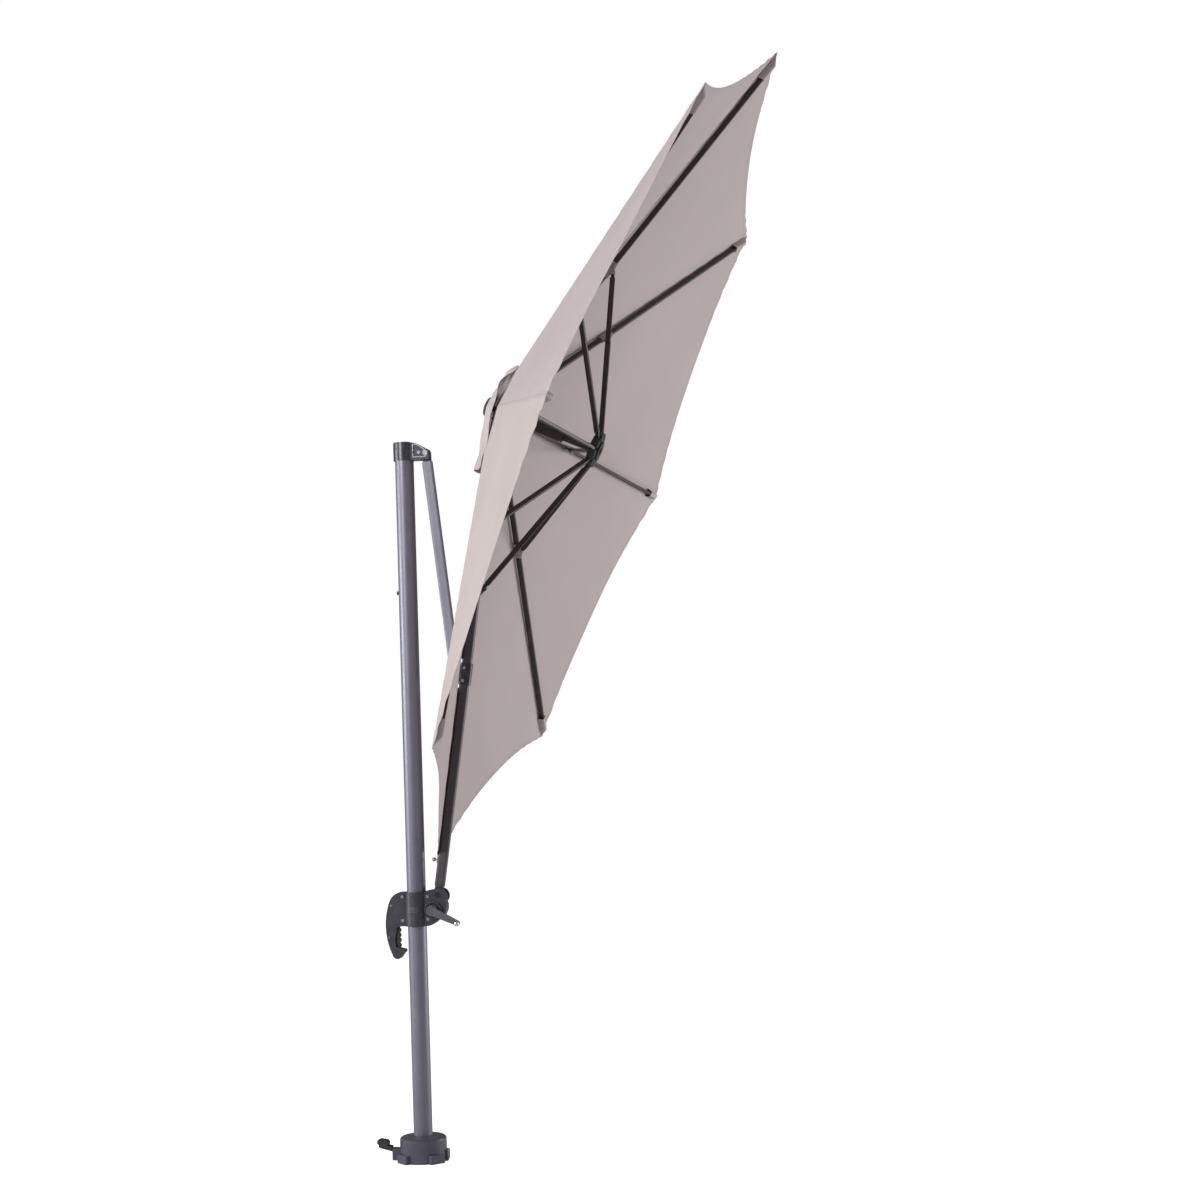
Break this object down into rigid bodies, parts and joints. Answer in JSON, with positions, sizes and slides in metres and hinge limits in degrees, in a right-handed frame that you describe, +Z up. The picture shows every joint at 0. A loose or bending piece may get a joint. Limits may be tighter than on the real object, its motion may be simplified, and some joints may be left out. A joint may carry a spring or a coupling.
{
  "type": "cantilever parasol",
  "caption": "Cantilever parasol with a sliding collar, tilting boom and a round panelled canopy that folds like an umbrella.",
  "frame": {"origin": "centre of the base's underside, on the mast's axis", "axes": "+Z up along the mast, +X from the mast towards the canopy, +Y across"},
  "size_m": [1.5065, 3, 3.7518],
  "materials": {
    "cast_grey": "satin",
    "powder_coat": "satin powder coat",
    "frame_dark": "satin",
    "joint_grey": "satin",
    "black_plastic": "matt",
    "steel": "brushed",
    "crank_grey": "satin",
    "bright_metal": "polished",
    "plate_grey": "satin",
    "canopy_fabric": "woven polyester"
  },
  "bodies": {
    "base": {"base_body": "cast_grey", "base_cover": "cast_grey", "pedal_housing": "cast_grey"},
    "pedal": {"pedal": "black_plastic"},
    "mast": {"mast_tube": "powder_coat", "mast_foot": "steel", "mast_cap": "cast_grey", "upper_pin": "steel", "stop_screw": "black_plastic"},
    "support_arm": {"arm_tube": "powder_coat", "arm_head": "cast_grey", "arm_foot": "cast_grey"},
    "boom": {"boom_tube": "powder_coat", "boom_foot": "cast_grey", "boom_bracket": "cast_grey", "bracket_hardware": "steel", "brace_bracket": "black_plastic", "boom_head": "cast_grey", "canopy_hook": "steel"},
    "collar": {"collar_front": "cast_grey", "collar_back": "cast_grey", "collar_liner": "black_plastic", "collar_screws": "steel", "collar_pins": "steel", "name_plate": "plate_grey"},
    "release_lever": {"release_lever": "black_plastic"},
    "crank": {"crank_shaft": "steel", "crank_arm": "crank_grey", "crank_tip": "bright_metal"},
    "head": {"top_hub": "black_plastic", "hub_pins": "steel", "centre_pole": "black_plastic", "hub_cap": "black_plastic", "canopy": "canopy_fabric", "vent_cap": "canopy_fabric"},
    "rib_1": {"rib_1": "frame_dark", "rib_joint_1": "joint_grey"},
    "brace_1": {"brace_1": "frame_dark"},
    "rib_2": {"rib_2": "frame_dark", "rib_joint_2": "joint_grey"},
    "brace_2": {"brace_2": "frame_dark"},
    "rib_3": {"rib_3": "frame_dark", "rib_joint_3": "joint_grey"},
    "brace_3": {"brace_3": "frame_dark"},
    "rib_4": {"rib_4": "frame_dark", "rib_joint_4": "joint_grey"},
    "brace_4": {"brace_4": "frame_dark"},
    "rib_5": {"rib_5": "frame_dark", "rib_joint_5": "joint_grey"},
    "brace_5": {"brace_5": "frame_dark"},
    "rib_6": {"rib_6": "frame_dark", "rib_joint_6": "joint_grey"},
    "brace_6": {"brace_6": "frame_dark"},
    "rib_7": {"rib_7": "frame_dark", "rib_joint_7": "joint_grey"},
    "brace_7": {"brace_7": "frame_dark"},
    "brace_8": {"brace_8": "frame_dark"},
    "lower_hub": {"lower_hub": "black_plastic", "inner_pole": "black_plastic", "lower_pins": "steel"}
  },
  "joints": [
    {"name": "mast_turn", "type": "hinge", "parent": "base", "child": "mast", "pos_m": [0, 0, 0.05], "axis": [0, 0, 1], "continuous": true},
    {"name": "pedal_press", "type": "hinge", "parent": "base", "child": "pedal", "pos_m": [-0.096, 0, 0.034], "axis": [0, -1, 0], "range_deg": [0, 18], "stiffness_Nm_per_rad": 1.5, "springref_deg": -11.46},
    {"name": "arm_swing", "type": "hinge", "parent": "mast", "child": "support_arm", "pos_m": [0.078, 0, 2.427], "axis": [0, -1, 0], "range_deg": [0, 64.8]},
    {"name": "boom_tilt", "type": "hinge", "parent": "support_arm", "child": "boom", "pos_m": [0.15809, 0, 1.665], "axis": [0, -1, 0], "range_deg": [-129.6, 0]},
    {"name": "collar_slide", "type": "hinge", "parent": "boom", "child": "collar", "pos_m": [0.078, 0, 0.903], "axis": [0, -1, 0], "range_deg": [0, 64.8]},
    {"name": "lever_squeeze", "type": "hinge", "parent": "collar", "child": "release_lever", "pos_m": [-0.069, 0, 0.803], "axis": [0, 1, 0], "range_deg": [0, 6], "stiffness_Nm_per_rad": 1, "springref_deg": -11.46},
    {"name": "crank_turn", "type": "hinge", "parent": "collar", "child": "crank", "pos_m": [0.06, 0, 0.851], "axis": [0, -1, 0], "range_deg": [0, 2904]},
    {"name": "canopy_fold", "type": "hinge", "parent": "boom", "child": "head", "pos_m": [0.32552, 0, 2.51064], "axis": [0, 1, 0], "range_deg": [0, 66], "deforming": ["canopy", "vent_cap"]},
    {"name": "rib_1_fold", "type": "hinge", "parent": "head", "child": "rib_1", "pos_m": [0.36848, 0, 2.60536], "axis": [0, 1, 0], "range_deg": [0, 66]},
    {"name": "brace_1_fold", "type": "hinge", "parent": "rib_1", "child": "brace_1", "pos_m": [0.75151, 0, 3.02127], "axis": [0, 1, 0], "range_deg": [-132, 0]},
    {"name": "rib_2_fold", "type": "hinge", "parent": "head", "child": "rib_2", "pos_m": [0.36219, 0.03677, 2.59149], "axis": [-0.2921, 0.7071, -0.644], "range_deg": [0, 66]},
    {"name": "brace_2_fold", "type": "hinge", "parent": "rib_2", "child": "brace_2", "pos_m": [0.68024, 0.41649, 2.86417], "axis": [-0.2921, 0.7071, -0.644], "range_deg": [-132, 0]},
    {"name": "rib_3_fold", "type": "hinge", "parent": "head", "child": "rib_3", "pos_m": [0.347, 0.052, 2.558], "axis": [-0.4131, 0, -0.9107], "range_deg": [0, 66]},
    {"name": "brace_3_fold", "type": "hinge", "parent": "rib_3", "child": "brace_3", "pos_m": [0.50819, 0.589, 2.48488], "axis": [-0.4131, 0, -0.9107], "range_deg": [-132, 0]},
    {"name": "rib_4_fold", "type": "hinge", "parent": "head", "child": "rib_4", "pos_m": [0.33181, 0.03677, 2.52452], "axis": [-0.2921, -0.7071, -0.644], "range_deg": [0, 66]},
    {"name": "brace_4_fold", "type": "hinge", "parent": "rib_4", "child": "brace_4", "pos_m": [0.33614, 0.41649, 2.10559], "axis": [-0.2921, -0.7071, -0.644], "range_deg": [-132, 0]},
    {"name": "rib_5_fold", "type": "hinge", "parent": "head", "child": "rib_5", "pos_m": [0.33181, -0.03677, 2.52452], "axis": [0.2921, -0.7071, 0.644], "range_deg": [0, 66]},
    {"name": "brace_5_fold", "type": "hinge", "parent": "rib_5", "child": "brace_5", "pos_m": [0.33614, -0.41649, 2.10559], "axis": [0.2921, -0.7071, 0.644], "range_deg": [-132, 0]},
    {"name": "rib_6_fold", "type": "hinge", "parent": "head", "child": "rib_6", "pos_m": [0.347, -0.052, 2.558], "axis": [0.4131, 0, 0.9107], "range_deg": [0, 66]},
    {"name": "brace_6_fold", "type": "hinge", "parent": "rib_6", "child": "brace_6", "pos_m": [0.50819, -0.589, 2.48488], "axis": [0.4131, 0, 0.9107], "range_deg": [-132, 0]},
    {"name": "rib_7_fold", "type": "hinge", "parent": "head", "child": "rib_7", "pos_m": [0.36219, -0.03677, 2.59149], "axis": [0.2921, 0.7071, 0.644], "range_deg": [0, 66]},
    {"name": "brace_7_fold", "type": "hinge", "parent": "rib_7", "child": "brace_7", "pos_m": [0.68024, -0.41649, 2.86417], "axis": [0.2921, 0.7071, 0.644], "range_deg": [-132, 0]},
    {"name": "brace_8_fold", "type": "hinge", "parent": "boom", "child": "brace_8", "pos_m": [0.26487, 0, 1.94849], "axis": [0, -1, 0], "range_deg": [-132, 0]},
    {"name": "lower_hub_fold", "type": "hinge", "parent": "brace_1", "child": "lower_hub", "pos_m": [0.69086, 0, 2.45912], "axis": [0, 1, 0], "range_deg": [0, 66]}
  ],
  "couplings": [
    {"joint": "boom_tilt", "follows": "arm_swing", "ratio": -2},
    {"joint": "collar_slide", "follows": "arm_swing", "ratio": 1},
    {"joint": "crank_turn", "follows": "canopy_fold", "ratio": 44},
    {"joint": "rib_1_fold", "follows": "canopy_fold", "ratio": 1},
    {"joint": "brace_1_fold", "follows": "canopy_fold", "ratio": -2},
    {"joint": "rib_2_fold", "follows": "canopy_fold", "ratio": 1},
    {"joint": "brace_2_fold", "follows": "canopy_fold", "ratio": -2},
    {"joint": "rib_3_fold", "follows": "canopy_fold", "ratio": 1},
    {"joint": "brace_3_fold", "follows": "canopy_fold", "ratio": -2},
    {"joint": "rib_4_fold", "follows": "canopy_fold", "ratio": 1},
    {"joint": "brace_4_fold", "follows": "canopy_fold", "ratio": -2},
    {"joint": "rib_5_fold", "follows": "canopy_fold", "ratio": 1},
    {"joint": "brace_5_fold", "follows": "canopy_fold", "ratio": -2},
    {"joint": "rib_6_fold", "follows": "canopy_fold", "ratio": 1},
    {"joint": "brace_6_fold", "follows": "canopy_fold", "ratio": -2},
    {"joint": "rib_7_fold", "follows": "canopy_fold", "ratio": 1},
    {"joint": "brace_7_fold", "follows": "canopy_fold", "ratio": -2},
    {"joint": "brace_8_fold", "follows": "canopy_fold", "ratio": -2},
    {"joint": "lower_hub_fold", "follows": "canopy_fold", "ratio": 1}
  ]
}
